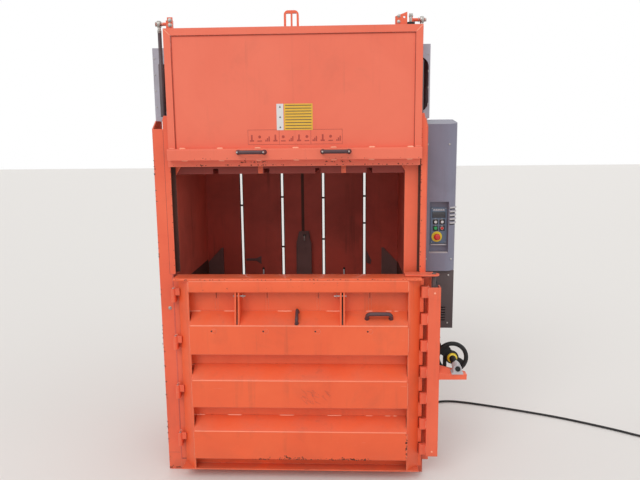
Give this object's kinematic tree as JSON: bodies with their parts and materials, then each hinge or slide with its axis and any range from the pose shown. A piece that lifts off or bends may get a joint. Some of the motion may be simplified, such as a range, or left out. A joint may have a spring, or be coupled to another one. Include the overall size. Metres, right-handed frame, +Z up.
{
  "type": "vertical recycling baler",
  "caption": "Orange vertical recycling baler with a lifting feed gate, a ribbed front door, a claw lock with a handwheel, a grey control cabinet and a mains cable",
  "frame": {"origin": "middle of the press frame's footprint, on the floor", "axes": "+X to the right seen from the front, +Y to the back, +Z up"},
  "size_m": [2.95, 0.9962, 2.325],
  "materials": {
    "orange_paint": "worn semi-gloss paint over welded plate",
    "grey_paint": "satin powder coat",
    "dark_paint": "dusty satin paint",
    "panel_film": "printed control film with plain fields",
    "bare_steel": "ground steel",
    "cast_black": "black cast metal",
    "black_plastic": "moulded black plastic",
    "red_plastic": "glossy red plastic",
    "yellow_plastic": "glossy yellow plastic",
    "green_plastic": "glossy green plastic",
    "white_plastic": "glossy white plastic",
    "cable_rubber": "black rubber sheath",
    "light_grey_paint": "light grey primer"
  },
  "bodies": {
    "frame": {"base_frame": "orange_paint", "floor_plate": "orange_paint", "back_wall": "orange_paint", "back_stiffeners": "orange_paint", "side_wall_left": "orange_paint", "side_wall_right": "orange_paint", "column_left": "orange_paint", "column_right": "orange_paint", "gate_tracks": "orange_paint", "crown_frame": "orange_paint", "hood": "grey_paint", "cylinder_barrels": "dark_paint", "control_cabinet": "grey_paint", "control_panel": "panel_film", "power_cabinet": "dark_paint", "power_unit": "dark_paint", "strut_rods": "bare_steel", "hinge_lugs": "orange_paint", "hinge_pins": "bare_steel", "lock_bearing_plate": "orange_paint", "lock_rod": "bare_steel", "lock_rack": "cast_black", "mains_cable": "cable_rubber", "mains_coil": "cable_rubber", "mains_plug": "red_plastic", "cable_gland": "black_plastic"},
    "stages": {"cylinder_stages": "bare_steel"},
    "press": {"piston_rods": "bare_steel", "press_plate": "orange_paint", "press_guides": "black_plastic"},
    "gate": {"gate_panel": "orange_paint", "gate_frame": "orange_paint", "gate_bottom_bar": "orange_paint", "gate_handles": "black_plastic", "gate_runners": "bare_steel", "gate_brackets": "orange_paint", "strut_tubes": "black_plastic"},
    "door": {"door_knuckles": "orange_paint", "door_skin": "orange_paint", "door_top_rail": "orange_paint", "door_ribs": "orange_paint", "door_posts": "orange_paint", "door_teeth": "orange_paint", "strap_guides": "orange_paint", "cleat": "black_plastic", "door_handle": "black_plastic"},
    "lock": {"lock_bar": "orange_paint", "lock_claws": "orange_paint", "wheel_bracket": "orange_paint", "bearing_block": "light_grey_paint"},
    "wheel": {"handwheel": "cast_black", "wheel_cap": "yellow_plastic", "pinion_shaft": "cast_black"},
    "ejector": {"ejector_frame": "orange_paint", "shackle": "bare_steel"},
    "stop_button": {"emergency_stop": "red_plastic"},
    "start_key": {"button_start": "green_plastic"},
    "halt_key": {"button_stop": "white_plastic"},
    "up_key": {"button_up": "black_plastic"},
    "down_key": {"button_down": "black_plastic"}
  },
  "joints": [
    {"name": "gate_lift", "type": "slide", "parent": "frame", "child": "gate", "axis": [0, 0, 1], "range_m": [-0.52, 0]},
    {"name": "door_swing", "type": "hinge", "parent": "frame", "child": "door", "pos_m": [-0.595, -0.458, 0.5], "axis": [0, 0, -1], "range_deg": [0, 120]},
    {"name": "lock_slide", "type": "slide", "parent": "frame", "child": "lock", "axis": [0, 0, 1], "range_m": [-0.06875, 0]},
    {"name": "handwheel_spin", "type": "hinge", "parent": "lock", "child": "wheel", "pos_m": [0.82, -0.378, 0.612], "axis": [0, 1, 0], "range_deg": [0, 157.7]},
    {"name": "press_slide", "type": "slide", "parent": "frame", "child": "press", "axis": [0, 0, 1], "range_m": [-0.8, 0]},
    {"name": "stage_slide", "type": "slide", "parent": "frame", "child": "stages", "axis": [0, 0, 1], "range_m": [-0.4, 0]},
    {"name": "ejector_tip", "type": "hinge", "parent": "frame", "child": "ejector", "pos_m": [0.018, -0.408, 0.072], "axis": [1, 0, 0], "range_deg": [0, 30]},
    {"name": "stop_press", "type": "slide", "parent": "frame", "child": "stop_button", "axis": [0, 1, 0], "range_m": [0, 0.004], "stiffness_N_per_m": 1200},
    {"name": "start_press", "type": "slide", "parent": "frame", "child": "start_key", "axis": [0, 1, 0], "range_m": [0, 0.003], "stiffness_N_per_m": 500},
    {"name": "halt_press", "type": "slide", "parent": "frame", "child": "halt_key", "axis": [0, 1, 0], "range_m": [0, 0.003], "stiffness_N_per_m": 500},
    {"name": "up_press", "type": "slide", "parent": "frame", "child": "up_key", "axis": [0, 1, 0], "range_m": [0, 0.003], "stiffness_N_per_m": 500},
    {"name": "down_press", "type": "slide", "parent": "frame", "child": "down_key", "axis": [0, 1, 0], "range_m": [0, 0.003], "stiffness_N_per_m": 500}
  ],
  "couplings": [
    {"joint": "stage_slide", "follows": "press_slide", "ratio": 0.5},
    {"joint": "handwheel_spin", "follows": "lock_slide", "rad_per_m": -40}
  ]
}
